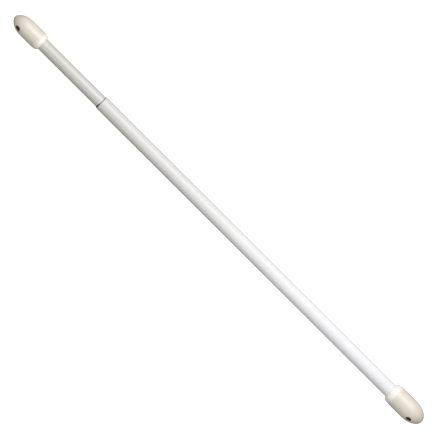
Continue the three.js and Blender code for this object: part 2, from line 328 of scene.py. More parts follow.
class BootShape:
    """One boot's outer surface, along u from its nose face towards the tube.

    The nose is a superellipse. Its own tip would be nose_reach away from the barrel, and the flat face
    cuts it short.
    """

    def __init__(self, node, tube_node, sizes, tip_sign):
        low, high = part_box(node)
        self.tip_x = high.x if tip_sign > 0 else low.x
        self.tip_sign = tip_sign
        self.length = high.x - low.x
        self.radius = high.z
        self.nose = sizes["nose"]
        self.hole_u = sizes["pin_hole"]
        self.shoulder = sizes["shoulder"]
        self.step_u = self.length - self.shoulder
        self.lip = sizes["lip"]
        self.socket_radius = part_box(tube_node)[1].z + PUSH_FIT
        self.flank_power = sizes["flank_power"]
        self.tip_power = sizes["tip_power"]
        face_level = (NOSE_FACE_RADIUS / self.radius) ** self.tip_power
        self.face_share = (1 - face_level) ** (1 / self.flank_power)
        self.nose_reach = self.nose / self.face_share

    def x(self, u):
        return self.tip_x - self.tip_sign * u

    def u(self, x):
        return self.tip_sign * (self.tip_x - x)

    def surface_radius(self, u):
        """The radius of the nose and barrel."""
        if u >= self.nose:
            return self.radius
        share = (self.nose - u) / self.nose_reach
        return self.radius * (1 - share**self.flank_power) ** (1 / self.tip_power)


def boot_rows(shape):
    """The boot's outline as (u, radius) points, from the nose face's centre to the socket's centre."""
    face = [(0, share * NOSE_FACE_RADIUS) for share in FACE_ROW_SHARES]
    nose = []
    for i in range(NOSE_ROWS + 1):
        turn = math.asin(shape.face_share) * (1 - i / NOSE_ROWS)
        u = shape.nose - shape.nose_reach * math.sin(turn)
        nose.append((u, shape.surface_radius(u)))
    flat = shape.step_u - RIDGE_FLAT_END - shape.nose
    barrel = [(shape.nose + flat * (i + 1) / BARREL_ROWS, shape.radius) for i in range(BARREL_ROWS)]
    foot = shape.radius - SHOULDER_STEP
    step = [
        (shape.step_u - RIDGE_EDGE["back"], shape.radius - RIDGE_EDGE["down"]),
        (shape.step_u, foot + RIDGE_FOOT_RISE),
    ]
    shoulder = []
    for i in range(SHOULDER_ROWS + 1):
        turn = math.pi / 2 * (1 - i / SHOULDER_ROWS)
        u = shape.step_u + shape.shoulder * math.cos(turn)
        shoulder.append((u, shape.lip + (foot - shape.lip) * math.sin(turn)))
    lip = [
        (shape.length, (shape.lip + shape.socket_radius) / 2),
        (shape.length - LIP_EDGE["back"], shape.socket_radius + LIP_EDGE["out"]),
        (shape.length - SOCKET_ROUNDING, shape.socket_radius),
    ]
    bottom = [
        (NOSE_SOLID + SOCKET_ROUNDING, shape.socket_radius),
        (NOSE_SOLID, shape.socket_radius - SOCKET_ROUNDING),
        (NOSE_SOLID, shape.socket_radius / 2),
        (NOSE_SOLID, 0),
    ]
    return face + nose + barrel + step + shoulder + lip + bottom


class BootMesh:
    """A boot as one closed mesh, with rounded mouths where the pin hole crosses its nose.

    The turned grid leaves a window at each mouth. Rings run from the window's edge over the surface to
    the hole, round its edge, and through the nose to the other mouth. Each vertex also keeps how much
    painted shade the hole gets there, from 0 on the outside to 1 deep in the hole.
    """

    def __init__(self, shape):
        self.shape = shape
        self.verts = []
        self.hole_shade = []
        self.faces = []
        rows = boot_rows(shape)
        self.grid = [self.row(shape.x(u), radius) for u, radius in rows]
        in_window = [i for i, (u, _) in enumerate(rows) if abs(u - shape.hole_u) < WINDOW_HALF_LENGTH]
        self.first, self.last = in_window[0], in_window[-1]
        for i in range(len(rows) - 1):
            for j, corners in enumerate(band(self.grid[i], self.grid[i + 1])):
                if len(corners) > 2 and not self.window_holds(i, j):
                    self.faces.append(corners)
        front, back = self.mouth(-1), self.mouth(1)
        for rings in (front, back, self.wall(front[-1], back[-1])):
            for outer, inner in zip(rings, rings[1:]):
                self.faces += band(outer, inner)

    def vertex(self, point, hole_shade_level=0.0):
        self.verts.append(point)
        self.hole_shade.append(hole_shade_level)
        return len(self.verts) - 1

    def row(self, x, radius):
        """One ring of the turned grid, or one point on the axis."""
        if radius < ON_AXIS:
            return [self.vertex((x, 0, 0))] * BOOT_COLUMNS
        return [self.vertex(point) for point in ring_points(x, radius, BOOT_COLUMNS)]

    def window_holds(self, i, j):
        """Whether the grid's cell after row i and column j is left out for one of the mouths."""
        offset = (j + WINDOW_HALF_COLUMNS) % (BOOT_COLUMNS // 2)
        return self.first <= i < self.last and offset < 2 * WINDOW_HALF_COLUMNS

    def window_edge(self):
        """The (row, column) places round a window whose middle is column 0."""
        half, first, last = WINDOW_HALF_COLUMNS, self.first, self.last
        low = [(first, column) for column in range(-half, half)]
        right = [(i, half) for i in range(first, last)]
        high = [(last, column) for column in range(half, -half, -1)]
        left = [(i, -half) for i in range(last, first, -1)]
        return low + right + high + left

    def mouth(self, side):
        """The rings of one mouth, from the window's edge to the hole's wall. side is -1 or 1 along Y."""
        middle = 0 if side < 0 else BOOT_COLUMNS // 2
        window = [self.grid[i][(middle - side * column) % BOOT_COLUMNS] for i, column in self.window_edge()]
        rays = []
        for index in window:
            x, _, z = self.verts[index]
            past_hole = self.shape.u(x) - self.shape.hole_u
            rays.append((math.atan2(z, past_hole), math.hypot(z, past_hole)))
        rings = [window]
        rim = PIN_HOLE_RADIUS + PIN_HOLE_ROUNDING
        for m in range(1, MOUTH_RINGS + 1):
            share = m / MOUTH_RINGS
            rings.append([self.on_mouth(side, ray, reach + (rim - reach) * share, 0) for ray, reach in rays])
        for m in range(1, ROUNDING_RINGS + 1):
            turn = math.pi / 2 * m / ROUNDING_RINGS
            reach = PIN_HOLE_RADIUS + PIN_HOLE_ROUNDING * (1 - math.sin(turn))
            depth = PIN_HOLE_ROUNDING * (1 - math.cos(turn))
            rings.append([self.on_mouth(side, ray, reach, depth) for ray, _ in rays])
        return rings

    def on_mouth(self, side, ray, reach, depth):
        """A vertex in this direction and this far from the hole's axis, and this deep in the surface."""
        u = self.shape.hole_u + reach * math.cos(ray)
        z = reach * math.sin(ray)
        y = math.sqrt(self.shape.surface_radius(u) ** 2 - z * z) - depth
        # Painted shade that grows over the hole's rounded rim.
        return self.vertex((self.shape.x(u), side * y, z), RIM_HOLE_SHADE * depth / PIN_HOLE_ROUNDING)

    def wall(self, front, back):
        """The rings of the hole's wall, from the front mouth's last ring to the back one's."""
        rings = [front]
        for level in WALL_LEVELS:
            # Painted shade on the hole's wall, full a little way in from each mouth.
            hole_shade_level = RIM_HOLE_SHADE + (1 - RIM_HOLE_SHADE) * min(1.0, min(level, 1 - level) / FULL_HOLE_SHADE_LEVEL)
            ends = [(Vector(self.verts[a]), Vector(self.verts[b])) for a, b in zip(front, back)]
            rings.append([self.vertex(tuple(start.lerp(end, level)), hole_shade_level) for start, end in ends])
        return rings + [back]


def boot(name, _, shape):
    """The boot's object, which stores the hole's painted shade for the material to read."""
    mesh = BootMesh(shape)
    obj = add_object(name, mesh.verts, mesh.faces)
    values = obj.data.attributes.new("hole_shade", "FLOAT", "POINT")
    values.data.foreach_set("value", mesh.hole_shade)
    return obj


# ---- tubes and bush ----


def tube(name, node, bevelled_mouth):
    """A tube with rounded cut edges. bevelled_mouth gives its low end the long shallow bevel."""
    low_x, high_x, radius = span(node)
    bore = radius - TUBE["wall"]
    mouth_drop = MOUTH_BEVEL["drop"] if bevelled_mouth else 0
    corners = [(low_x, bore, TUBE["inside"]), (low_x, radius - mouth_drop, TUBE["outside"])]
    if bevelled_mouth:
        corners.append((low_x + MOUTH_BEVEL["length"], radius, MOUTH_BEVEL["rounding"]))
    corners += [(high_x, radius, TUBE["outside"]), (high_x, bore, TUBE["inside"])]
    return turned(name, rounded(corners))


def shadow_lip_share(y, z):
    """How far the bush's lip, a painted shadow, stands out there: 1 on the lower front, 0 round the rest."""
    toward = (-y * math.cos(LIP_MIDDLE) + z * math.sin(LIP_MIDDLE)) / math.hypot(y, z)
    share = max(0.0, min(1.0, (toward - LIP_STARTS) / (LIP_FULL - LIP_STARTS)))
    return share * share * (3 - 2 * share)


def mouth_bush(name, node):
    """The thin bush with the flange that shows as a dark line round the inner tube: a real bush, whose line
    also stands in for the gap's shade.

    The flange's lip stands out further on the lower front: a black shape put where the step's shadow falls,
    as a painted shadow.
    """
    low_x, high_x, flange_radius = span(node)
    mouth_x = span("outer_tube")[0]
    flange_end = low_x + BUSH["flange"]
    corners = [
        (low_x, BUSH["bore"], BUSH["rounding"]),
        (low_x, flange_radius, BUSH["front_rounding"]),
        (flange_end, flange_radius, BUSH["rounding"]),
        (flange_end, BUSH["radius"], 0),
        (mouth_x + BUSH["reach"], BUSH["radius"], 0),
        (high_x, BUSH["radius"], BUSH["rounding"]),
        (high_x, BUSH["bore"], BUSH["rounding"]),
    ]
    bush = turned(name, rounded(corners))
    # Push out the lip on the lower front, the painted shadow.
    for vertex in bush.data.vertices:
        if vertex.co.x < low_x + BUSH["flange"] / 2:
            vertex.co.x -= SHADOW_LIP_DEPTH * shadow_lip_share(vertex.co.y, vertex.co.z)
    return bush


# ---- turned and threaded pieces ----


def washer(name, node, bore, rounding=WASHER_ROUNDING):
    """A flat ring with rounded edges."""
    low_x, high_x, radius = span(node)
    places = ((low_x, bore), (low_x, radius), (high_x, radius), (high_x, bore))
    return turned(name, rounded([(x, r, rounding) for x, r in places]))


def lock_washer(name, node, bore):
    """A spring washer: a ring cut through on the slant."""
    ring = washer(name, node, bore, LOCK_WASHER["rounding"])
    low_x, high_x, radius = span(node)
    reach, half = LOCK_WASHER["reach"], LOCK_WASHER["half_slit"]
    cut = block("washer_slit", (-reach, 0, -half), (reach, 2 * radius, half))
    to_middle = Matrix.Translation(((low_x + high_x) / 2, 0, 0))
    cut.data.transform(to_middle @ Matrix.Rotation(LOCK_WASHER["slant"], 4, "Y"))
    return crisp(combine(ring, [cut], "DIFFERENCE"))


def nut(name, node, bore):
    """A hexagonal nut with both faces chamfered to a circle and a countersunk bore."""
    low_x, high_x, corner_radius = span(node)
    flat_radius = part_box(node)[1].y
    blank = prism(name, low_x, high_x, corner_radius, HEX_SIDES)
    drop = (corner_radius - flat_radius) * NUT["chamfer_slope"]
    past_corner = corner_radius + NUT["slack"]
    chamfer = [
        (low_x, 0),
        (low_x, flat_radius * NUT["face_share"]),
        (low_x + drop, past_corner),
        (high_x - drop, past_corner),
        (high_x, flat_radius * NUT["face_share"]),
        (high_x, 0),
    ]
    flared = bore + NUT["flare"] + OVERCUT
    hole = [
        (low_x - OVERCUT, 0),
        (low_x - OVERCUT, flared),
        (low_x + NUT["flare"], bore),
        ((low_x + high_x) / 2, bore),
        (high_x - NUT["flare"], bore),
        (high_x + OVERCUT, flared),
        (high_x + OVERCUT, 0),
    ]
    chamfer_tool = turned("nut_chamfer", chamfer, closed=False)
    hole_tool = turned("nut_bore", hole, SMALL_SEGMENTS, closed=False)
    combine(blank, [chamfer_tool], "INTERSECT")
    return crisp(combine(blank, [hole_tool], "DIFFERENCE"))


def stud(name, node):
    """The threaded stud: rings along its length whose radius follows a trapezoidal helix."""
    low_x, high_x, radius = span(node)
    count = int((high_x - low_x) / (THREAD_PITCH / STUD_ROWS_PER_TURN))
    verts, rings, faces = [], [], []
    for i in range(count + 1):
        x = low_x + (high_x - low_x) * i / count
        limit = radius - max(0, STUD_CHAMFER - min(x - low_x, high_x - x))
        rings.append(range(len(verts), len(verts) + STUD_SEGMENTS))
        for j in range(STUD_SEGMENTS):
            phase = ((x - low_x) / THREAD_PITCH - j / STUD_SEGMENTS) % 1
            height = THREAD_FLANKS["slope"] * abs(2 * phase - 1) - THREAD_FLANKS["drop"]
            r = min(radius - THREAD_DEPTH * (1 - max(0.0, min(1.0, height))), limit)
            angle = 2 * math.pi * j / STUD_SEGMENTS
            verts.append((x, -r * math.cos(angle), r * math.sin(angle)))
    for low, high in zip(rings, rings[1:]):
        faces += band(low, high)
    faces += [tuple(rings[0]), tuple(rings[-1])]
    return crisp(add_object(name, verts, faces), THREAD_CRISP_DEGREES)


def ring_groove(x, radius, sizes):
    """The corners of one shallow ring cut into a barrel of this radius."""
    floor = radius - sizes["depth"]
    far_x = x + sizes["width"]
    return [
        (x, radius, 0),
        (x + sizes["slope"], floor, sizes["rounding"]),
        (far_x - sizes["slope"], floor, sizes["rounding"]),
        (far_x, radius, 0),
    ]


def pin_cutters(node_names):
    """Rods along the plug's pins, with some room round them."""
    cutters = []
    for node in node_names:
        low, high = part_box(node)
        centre = (low + high) / 2
        radius = (high.x - low.x) / 2 + PIN_ROOM["round"]
        outward = 1 if centre.z > 0 else -1
        near_z, far_z = (low.z, high.z) if outward > 0 else (high.z, low.z)
        from_z = near_z - outward * PIN_ROOM["under"]
        rod = prism(f"{node}_cutter", from_z, far_z + outward * PIN_ROOM["over"], radius)
        rod.data.transform(Matrix.Translation((centre.x, 0, 0)) @ Matrix.Rotation(-math.pi / 2, 4, "Y"))
        cutters.append(rod)
    return cutters


def plug(name, node, bore, pin_nodes):
    """The plug in the inner tube: a flanged barrel with shallow grip rings and two pin holes."""
    low_x, high_x, flange_radius = span(node)
    body_radius, rounding = PLUG["radius"], PLUG["rounding"]
    flange_x = span("inner_tube")[1] + PLUG["flange_gap"]
    corners = [(low_x, bore, rounding), (low_x, body_radius, PLUG["front_rounding"])]
    for i in range(PLUG_RINGS["count"]):
        ring_x = low_x + PLUG_RINGS["start"] + PLUG_RINGS["pitch"] * i
        corners += ring_groove(ring_x, body_radius, PLUG_RINGS)
    corners += [
        (flange_x, body_radius, 0),
        (flange_x, flange_radius, rounding),
        (high_x, flange_radius, rounding),
        (high_x, bore, rounding),
    ]
    body = turned(name, rounded(corners))
    return crisp(combine(body, pin_cutters(pin_nodes), "DIFFERENCE"))


def plug_pin(name, node):
    """A rivet-like pin with a slightly domed outer end."""
    low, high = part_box(node)
    radius = (high.x - low.x) / 2
    length = high.z - low.z
    outline = [(radius * rise, radius * share) for rise, share in PIN_FOOT]
    outline += [(length - radius * drop, radius * share) for drop, share in PIN_HEAD]
    pin = turned(name, outline, PIN_SEGMENTS, closed=False)
    outward = 1 if low.z + high.z > 0 else -1
    start_z = low.z if outward > 0 else high.z
    to_start = Matrix.Translation(((low.x + high.x) / 2, 0, start_z))
    pin.data.transform(to_start @ Matrix.Rotation(-outward * math.pi / 2, 4, "Y"))
    return crisp(pin)


def sleeve(name, node):
    """The split sleeve: collar with two ring grooves, four fingers with grip rings, tapered bore."""
    low_x, high_x, radius = span(node)
    corners = [(low_x, SLEEVE["bore"], SLEEVE["rounding"]), (low_x, radius, SLEEVE["back_rounding"])]
    for ring_node in ("drag_ring_1", "drag_ring_2"):
        ring_low, ring_high, _ = span(ring_node)
        middle = (ring_low + ring_high) / 2
        edges = (middle - DRAG_GROOVE["half_width"], middle + DRAG_GROOVE["half_width"])
        places = [(edges[0], radius), (edges[0], DRAG_GROOVE["radius"])]
        places += [(edges[1], DRAG_GROOVE["radius"]), (edges[1], radius)]
        corners += [(x, r, DRAG_GROOVE["rounding"]) for x, r in places]
    grip_x = low_x + SLEEVE_RINGS["start"]
    while grip_x < high_x - SLEEVE_RINGS["end_gap"]:
        corners += ring_groove(grip_x, radius, SLEEVE_RINGS)
        grip_x += SLEEVE_RINGS["pitch"]
    corners += [
        (high_x, radius, SLEEVE["rounding"]),
        (high_x, SLEEVE["mouth"], SLEEVE["mouth_rounding"]),
        (low_x + SLEEVE["collar"], SLEEVE["bore"], SLEEVE["collar_rounding"]),
    ]
    body = turned(name, rounded(corners), SLEEVE_SEGMENTS)
    near = (high_x - SLITS["length"], SLITS["inner"])
    far = (high_x + OVERCUT, radius + OVERCUT)
    slits = spokes("sleeve_slit", SLITS["count"], SLITS["width"], near, far)
    return crisp(combine(body, slits, "DIFFERENCE"))


def drag_ring(name, node):
    """A ring of round section."""
    low_x, high_x, outer = span(node)
    section = (high_x - low_x) / 2
    outline = []
    for i in range(RING_SECTION_STEPS):
        turn = 2 * math.pi * i / RING_SECTION_STEPS
        x = low_x + section - section * math.cos(turn)
        outline.append((x, outer - section + section * math.sin(turn)))
    return turned(name, outline)


def cone(name, node):
    """The keyed cone with a hexagonal pocket in its back and a round bore."""
    low_x, high_x, key_radius = span(node)
    taper = (SLEEVE["mouth"] - SLEEVE["bore"]) / SLITS["length"]
    travel = next(joint for joint in frame["joints"] if joint["name"] == "cone_travel")["range_m"][1]
    taper_x = span("expander_sleeve")[0] + SLEEVE["collar"]

    def flank(x):
        return SLEEVE["bore"] + taper * (x - travel - taper_x) - CONE["slack"]

    tip, edge = CONE["tip_chamfer"], CONE["band_chamfer"]
    band_x = high_x - CONE["band"]
    outline = [
        (low_x, 0),
        (low_x, flank(low_x) - tip),
        (low_x + tip, flank(low_x + tip)),
        (band_x, flank(band_x)),
        (high_x - edge, flank(band_x)),
        (high_x, flank(band_x) - edge),
        (high_x, 0),
    ]
    body = turned(name, outline, SLEEVE_SEGMENTS, closed=False)
    near = (high_x - KEYS["length"], KEYS["inner"])
    far = (high_x - KEYS["set_back"], key_radius)
    combine(body, spokes("cone_key", KEYS["count"], KEYS["width"], near, far), "UNION")
    insert_low, _, insert_radius = span("cone_insert")
    pocket_radius = insert_radius + POCKET["wider"]
    pocket = prism("cone_pocket", insert_low - POCKET["deeper"], high_x + OVERCUT, pocket_radius, HEX_SIDES)
    bore = prism("cone_bore", low_x - OVERCUT, high_x, RUNNING_BORE)
    return crisp(combine(body, [pocket, bore], "DIFFERENCE"))


def hex_insert(name, node, bore):
    """A hexagonal insert with a plain bore."""
    low_x, high_x, corner_radius = span(node)
    blank = prism(name, low_x, high_x, corner_radius, HEX_SIDES)
    hole = prism("insert_bore", low_x - OVERCUT, high_x + OVERCUT, bore)
    return crisp(combine(blank, [hole], "DIFFERENCE"))


# ---- materials ----

PLAIN_GLOSS = 0.5
HIGH_GLOSS = 1.0
WEAR_GREY = (0.42, 0.42, 0.43)
# The outer tube's white, and the darker, greyer tone at its mouth, which is painted shade where the light
# falls off.
OUTER_WHITE, OUTER_SHADED = (0.875, 0.875, 0.89), (0.70, 0.695, 0.672)
INNER_WHITE, INNER_HANDLED = (0.66, 0.645, 0.615), (0.65, 0.635, 0.59)
BOOT_CREAM = (0.815, 0.752, 0.642)
# Painted light: the paler, whiter tone on each boot's shoulder.
BOOT_SHOULDER_LIGHT = (0.95, 0.92, 0.85)
# Painted shade: the browner, darker tone towards each boot's tip.
BOOT_TIP_SHADE = (0.50, 0.38, 0.26)
# Painted shade deep in the pin hole.
HOLE_SHADE_BROWN = (0.24, 0.16, 0.10)
ZINC, ZINC_WORN = (0.62, 0.63, 0.64), (0.52, 0.52, 0.48)
BRASS, BRASS_WORN = (0.72, 0.50, 0.20), (0.55, 0.36, 0.14)
BLACK = (0.022, 0.022, 0.023)
GREY = (0.25, 0.26, 0.28)
IVORY = (0.74, 0.70, 0.58)

# SCALES are noise features per metre, with one for each axis where the noise is drawn out. LEVELS are
# the noise values between which a mark fades in. SHARES say how far a mark's colour goes over the plain
# one, SHADES scale a colour, and RELIEF is the height of a bump, which is negative for a dent.
ROUGH_LEVELS = (0.3, 0.7)

COAT_SCALES = {"cloud": 22, "speck": 1400, "peel": 620, "line": (14, 900, 900), "patch": 16, "wear": 500}
COAT_LEVELS = {
    "cloud": (0.35, 0.65),
    "speck": (0.66, 0.72),
    "line": (0.60, 0.70),
    "patch": (0.42, 0.62),
    "wear": (0.45, 0.6),
}
COAT_SHARES = {"cloud": 0.03, "speck": 0.12, "wear": 0.5}
COAT_SHADES = {"speck": 0.8, "scuff": 0.72}
COAT_RELIEF = {"peel": 0.035 * MM, "scuff": -0.02 * MM}
COAT_ROUGHNESS = (0.36, 0.43)
SCUFF_ROUGHNESS = 0.15
WORN_EDGE = {"inner": 0.9 * MM, "outer": -0.1 * MM}
# Where the outer tube's painted shade from the mouth has faded out.
OUTER_UNSHADED_X = -0.15

# The smudges are patches of dirt that also deepen the painted shade at the tip.
RUBBER_SCALES = {"mottle": 55, "grain": 1600, "ripple": 240, "smudge_and_tip_shade": 90}
RUBBER_SHARES = {"tip": 0.22, "smudge_and_tip_shade": 0.12}
RUBBER_SHADES = {"mottle": 0.96, "smudge_and_tip_shade": 0.7}
RUBBER_RELIEF = {"ripple": 0.05 * MM, "grain": 0.02 * MM}
RUBBER_ROUGHNESS = (0.39, 0.44)
SMUDGE_LEVELS = (0.45, 0.7)
# How far the painted shade at the tip reaches.
TIP_SHADE_FADE = 17 * MM
# Where the shoulder's painted light fades in, before and after its step.
SHOULDER_LIGHT_FADE = {"before": 2 * MM, "after": 3.5 * MM}

METAL_SCALES = {"rings": 5200, "blotch": 260, "scratch": (900, 5200, 700)}
METAL_LEVELS = {"blotch": (0.35, 0.65), "scratch": (0.63, 0.7)}
METAL_ROUGHNESS_RANGE = 0.14
RING_DEPTH = 0.012 * MM
SCRATCH_SHARE = 0.4
SCRATCH_SHADE = 1.15
SCRATCH_RELIEF = -0.01 * MM

MOULDED_SCALES = {"cloud": 140, "rub": (60, 1500, 1500)}
MOULDED_SHADES = (0.86, 1.08)
MOULDED_ROUGHNESS_RANGE = 0.1
RUBBER_GRAIN = {"grain_size": 0.5 * MM, "grain_depth": 0.04 * MM}
NYLON_GRAIN = {"grain_size": 0.35 * MM, "grain_depth": 0.015 * MM}
RUB_LEVELS = (0.6, 0.72)
RUB_SHARE = 0.25
RUB_LIFT = 0.35


class Shader:
    """A node material with short calls that add nodes. Lengths are metres along the object's own axes."""

    def __init__(self, name, metallic=0.0):
        self.material = bpy.data.materials.new(name)
        self.material.use_nodes = True
        self.nodes = self.material.node_tree.nodes
        self.links = self.material.node_tree.links
        self.surface = self.nodes["Principled BSDF"]
        self.surface.inputs["Metallic"].default_value = metallic
        self.position = self.nodes.new("ShaderNodeTexCoord").outputs["Object"]

    def feed(self, socket, value):
        """Links another node's output to a socket, or sets a constant on it."""
        if isinstance(value, bpy.types.NodeSocket):
            self.links.new(value, socket)
        else:
            socket.default_value = value

    def noise(self, scale, detail, vector=None):
        """Noise with this many features per metre, or with a number of its own along each axis."""
        scale, stretch = (1, scale) if isinstance(scale, tuple) else (scale, (1, 1, 1))
        mapping = self.nodes.new("ShaderNodeMapping")
        mapping.inputs["Scale"].default_value = stretch
        self.links.new(vector or self.position, mapping.inputs["Vector"])
        texture = self.nodes.new("ShaderNodeTexNoise")
        texture.inputs["Scale"].default_value = scale
        texture.inputs["Detail"].default_value = detail
        self.links.new(mapping.outputs["Vector"], texture.inputs["Vector"])
        return texture.outputs["Fac"]

    def fade(self, value, start, end, low=0.0, high=1.0):
        """low where value is at start, high where it is at end, and in between in between."""
        node = self.nodes.new("ShaderNodeMapRange")
        node.interpolation_type = "SMOOTHSTEP"
        for name, number in (("From Min", start), ("From Max", end), ("To Min", low), ("To Max", high)):
            node.inputs[name].default_value = number
        self.links.new(value, node.inputs["Value"])
        return node.outputs["Result"]

    def arithmetic(self, operation, a, b):
        node = self.nodes.new("ShaderNodeMath")
        node.operation = operation
        self.feed(node.inputs[0], a)
        self.feed(node.inputs[1], b)
        return node.outputs["Value"]

    def times(self, a, b):
        return self.arithmetic("MULTIPLY", a, b)

    def plus(self, a, b):
        return self.arithmetic("ADD", a, b)

    def blend(self, share, plain, other):
        """The plain colour, turning into the other as share goes to 1."""
        node = self.nodes.new("ShaderNodeMix")
        node.data_type = "RGBA"
        self.feed(node.inputs["Factor"], share)
        self.feed(node.inputs["A"], plain)
        self.feed(node.inputs["B"], other)
        return node.outputs["Result"]

    def place(self):
        """The place along the bar and across it: the outputs X, Y and Z."""
        node = self.nodes.new("ShaderNodeSeparateXYZ")
        self.links.new(self.position, node.inputs["Vector"])
        return node.outputs

    def turning(self):
        """A vector of place along the bar and radius, which is the same all round a turned piece."""
        place = self.place()
        across = self.nodes.new("ShaderNodeCombineXYZ")
        self.links.new(place["Y"], across.inputs["Y"])
        self.links.new(place["Z"], across.inputs["Z"])
        radius = self.nodes.new("ShaderNodeVectorMath")
        radius.operation = "LENGTH"
        self.links.new(across.outputs["Vector"], radius.inputs[0])
        joined = self.nodes.new("ShaderNodeCombineXYZ")
        self.links.new(place["X"], joined.inputs["X"])
        self.links.new(radius.outputs["Value"], joined.inputs["Y"])
        return joined.outputs["Vector"]

    def stored(self, name):
        node = self.nodes.new("ShaderNodeAttribute")
        node.attribute_name = name
        return node.outputs["Fac"]

    def relief(self, *layers):
        """Bumps of (height from 0 to 1, depth in metres) on the surface."""
        normal = None
        for height, depth in layers:
            node = self.nodes.new("ShaderNodeBump")
            node.inputs["Strength"].default_value = 1.0
            node.inputs["Distance"].default_value = depth
            self.links.new(height, node.inputs["Height"])
            if normal:
                self.links.new(normal, node.inputs["Normal"])
            normal = node.outputs["Normal"]
        self.links.new(normal, self.surface.inputs["Normal"])

    def done(self, colour, roughness, gloss=PLAIN_GLOSS):
        self.feed(self.surface.inputs["Base Color"], colour)
        self.feed(self.surface.inputs["Roughness"], roughness)
        self.feed(self.surface.inputs["Specular IOR Level"], gloss)
        return self.material


def shade(colour, share=1.0):
    """A linear colour with full alpha, scaled by share."""
    return (colour[0] * share, colour[1] * share, colour[2] * share, 1.0)


def powder_coat(name, edge_tone, far_tone, edge_x, fresh_x, scuffs, handled_gloss, fresh_gloss):
    """Satin powder coat: orange peel, faint clouding and specks, wear at a cut edge, lengthwise scuffs.

    The colour is the first tone at edge_x and turns into the second further along. On the outer tube this
    is painted shade: darker and greyer towards the mouth, where the light falls off.
    """
    shader = Shader(name)
    cloud = shader.noise(COAT_SCALES["cloud"], detail=2)
    speck = shader.fade(shader.noise(COAT_SCALES["speck"], detail=1), *COAT_LEVELS["speck"])
    peel = shader.noise(COAT_SCALES["peel"], detail=3)
    lines = shader.fade(shader.noise(COAT_SCALES["line"], detail=3), *COAT_LEVELS["line"])
    patches = shader.fade(shader.noise(COAT_SCALES["patch"], detail=1), *COAT_LEVELS["patch"])
    scuff = shader.times(shader.times(lines, patches), scuffs)
    along = shader.place()["X"]
    rim = shader.fade(along, edge_x + WORN_EDGE["inner"], edge_x + WORN_EDGE["outer"])
    chips = shader.noise(COAT_SCALES["wear"], detail=3)
    wear = shader.times(rim, shader.fade(chips, *COAT_LEVELS["wear"], 0.0, COAT_SHARES["wear"]))
    clouding = shader.fade(cloud, *COAT_LEVELS["cloud"], COAT_SHARES["cloud"], 0.0)
    # The tone along the tube: on the outer tube, painted shade towards the mouth.
    tone = shader.blend(shader.fade(along, edge_x, fresh_x), shade(edge_tone), shade(far_tone))
    tone = shader.blend(clouding, tone, shade(WEAR_GREY))
    speckling = shader.times(speck, COAT_SHARES["speck"])
    tone = shader.blend(speckling, tone, shade(edge_tone, COAT_SHADES["speck"]))
    tone = shader.blend(scuff, tone, shade(edge_tone, COAT_SHADES["scuff"]))
    tone = shader.blend(wear, tone, shade(WEAR_GREY))
    shader.relief((peel, COAT_RELIEF["peel"]), (scuff, COAT_RELIEF["scuff"]))
    satin = shader.fade(cloud, *ROUGH_LEVELS, *COAT_ROUGHNESS)
    roughness = shader.plus(satin, shader.times(scuff, SCUFF_ROUGHNESS))
    gloss = shader.fade(along, edge_x, fresh_x, handled_gloss, fresh_gloss)
    return shader.done(tone, roughness, gloss)


def boot_rubber(name, shape):
    """Cream vinyl rubber: painted light on the shoulder, painted shade and smudges at the tip, painted shade
    in the hole.
    """
    shader = Shader(name)
    mottle = shader.noise(RUBBER_SCALES["mottle"], detail=4)
    grain = shader.noise(RUBBER_SCALES["grain"], detail=2)
    ripple = shader.noise(RUBBER_SCALES["ripple"], detail=2)
    along = shader.place()["X"]
    # Painted shade towards the nose's tip.
    tip = shader.fade(along, shape.x(TIP_SHADE_FADE), shape.x(0))
    # Painted light on the shoulder, from just before its step towards the tube.
    shoulder_light_start = shape.x(shape.step_u - SHOULDER_LIGHT_FADE["before"])
    shoulder_light_end = shape.x(shape.step_u + SHOULDER_LIGHT_FADE["after"])
    shoulder_light = shader.fade(along, shoulder_light_start, shoulder_light_end)
    smudges = shader.fade(shader.noise(RUBBER_SCALES["smudge_and_tip_shade"], detail=3), *SMUDGE_LEVELS)
    # Smudges at the tip: patchy dirt that also deepens the painted shade there.
    smudge_and_tip_shade = shader.times(shader.times(tip, smudges), RUBBER_SHARES["smudge_and_tip_shade"])
    tone = shader.blend(mottle, shade(BOOT_CREAM, RUBBER_SHADES["mottle"]), shade(BOOT_CREAM))
    tone = shader.blend(shoulder_light, tone, shade(BOOT_SHOULDER_LIGHT))
    tone = shader.blend(shader.times(tip, RUBBER_SHARES["tip"]), tone, shade(BOOT_TIP_SHADE))
    tone = shader.blend(smudge_and_tip_shade, tone, shade(BOOT_TIP_SHADE, RUBBER_SHADES["smudge_and_tip_shade"]))
    # Painted shade in the pin hole.
    tone = shader.blend(shader.stored("hole_shade"), tone, shade(HOLE_SHADE_BROWN))
    shader.relief((ripple, RUBBER_RELIEF["ripple"]), (grain, RUBBER_RELIEF["grain"]))
    return shader.done(tone, shader.fade(mottle, *ROUGH_LEVELS, *RUBBER_ROUGHNESS), HIGH_GLOSS)


def turned_metal(name, colour, worn, roughness):
    """Machined or plated metal: fine rings round the axis, blotchy plating, small scratches."""
    shader = Shader(name, metallic=1.0)
    rings = shader.noise(METAL_SCALES["rings"], detail=2, vector=shader.turning())
    blotch = shader.noise(METAL_SCALES["blotch"], detail=4)
    scratch = shader.fade(shader.noise(METAL_SCALES["scratch"], detail=2), *METAL_LEVELS["scratch"])
    tone = shader.blend(shader.fade(blotch, *METAL_LEVELS["blotch"]), shade(colour), shade(worn))
    tone = shader.blend(shader.times(scratch, SCRATCH_SHARE), tone, shade(colour, SCRATCH_SHADE))
    shader.relief((rings, RING_DEPTH), (scratch, SCRATCH_RELIEF))
    roughest = roughness + METAL_ROUGHNESS_RANGE
    return shader.done(tone, shader.fade(blotch, *ROUGH_LEVELS, roughness, roughest))


